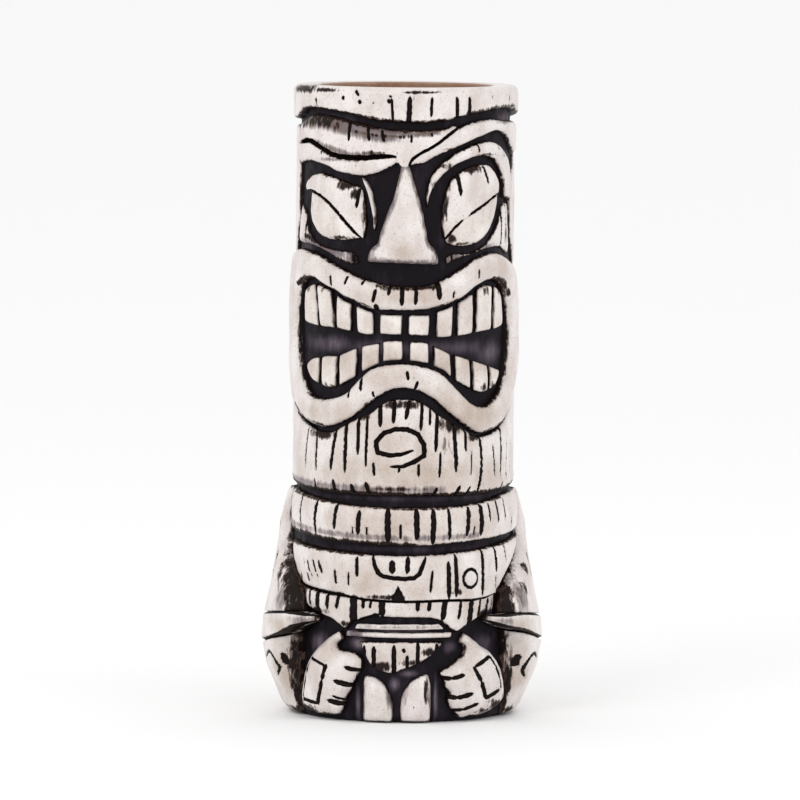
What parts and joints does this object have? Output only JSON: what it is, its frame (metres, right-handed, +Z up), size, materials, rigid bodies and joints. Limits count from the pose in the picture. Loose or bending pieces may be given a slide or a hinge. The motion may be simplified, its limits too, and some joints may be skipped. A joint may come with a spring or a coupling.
{
  "type": "tiki mug",
  "caption": "Tall hollow ceramic mug carved as a grimacing tiki figure, with raised brows, nose, teeth, bands, arms and hands round a plain cup.",
  "frame": {"origin": "centre of the foot, on the cup's axis, at the face it stands on", "axes": "+Z up along the cup to the brim, -Y out of the face, +X to the viewer's right when the face is seen"},
  "size_m": [0.0953, 0.0796, 0.21],
  "materials": {
    "recess_wash": "dark stained clay, satin",
    "cream_glaze": "satin cream glaze, dark wash in the cuts",
    "tooth_glaze": "satin ivory glaze",
    "inner_glaze": "glossy brown glaze"
  },
  "bodies": {
    "root": {"belt_lower": "cream_glaze", "belt_upper": "cream_glaze", "chest_band": "cream_glaze", "chin": "cream_glaze", "cup_body": "recess_wash", "forehead": "cream_glaze", "head_back": "cream_glaze", "inner_glaze": "inner_glaze", "left_arm": "cream_glaze", "left_brow": "cream_glaze", "left_cheek": "cream_glaze", "left_cuff": "cream_glaze", "left_eye_fold": "cream_glaze", "left_eyeball": "tooth_glaze", "left_foot": "cream_glaze", "left_hand": "cream_glaze", "left_lid": "cream_glaze", "left_thigh": "cream_glaze", "loincloth": "cream_glaze", "lower_back": "cream_glaze", "lower_lip": "cream_glaze", "lower_tooth_1": "tooth_glaze", "lower_tooth_10": "tooth_glaze", "lower_tooth_2": "tooth_glaze", "lower_tooth_3": "tooth_glaze", "lower_tooth_4": "tooth_glaze", "lower_tooth_5": "tooth_glaze", "lower_tooth_6": "tooth_glaze", "lower_tooth_7": "tooth_glaze", "lower_tooth_8": "tooth_glaze", "lower_tooth_9": "tooth_glaze", "nose": "cream_glaze", "right_arm": "cream_glaze", "right_brow": "cream_glaze", "right_brow_ridge": "cream_glaze", "right_cheek": "cream_glaze", "right_cuff": "cream_glaze", "right_eyeball": "tooth_glaze", "right_foot": "cream_glaze", "right_hand": "cream_glaze", "right_lid": "cream_glaze", "right_thigh": "cream_glaze", "rim_band": "cream_glaze", "shoulder_band": "cream_glaze", "shoulder_band_back": "cream_glaze", "skirt": "cream_glaze", "upper_lip": "cream_glaze", "upper_tooth_1": "tooth_glaze", "upper_tooth_10": "tooth_glaze", "upper_tooth_2": "tooth_glaze", "upper_tooth_3": "tooth_glaze", "upper_tooth_4": "tooth_glaze", "upper_tooth_5": "tooth_glaze", "upper_tooth_6": "tooth_glaze", "upper_tooth_7": "tooth_glaze", "upper_tooth_8": "tooth_glaze", "upper_tooth_9": "tooth_glaze"}
  },
  "joints": []
}
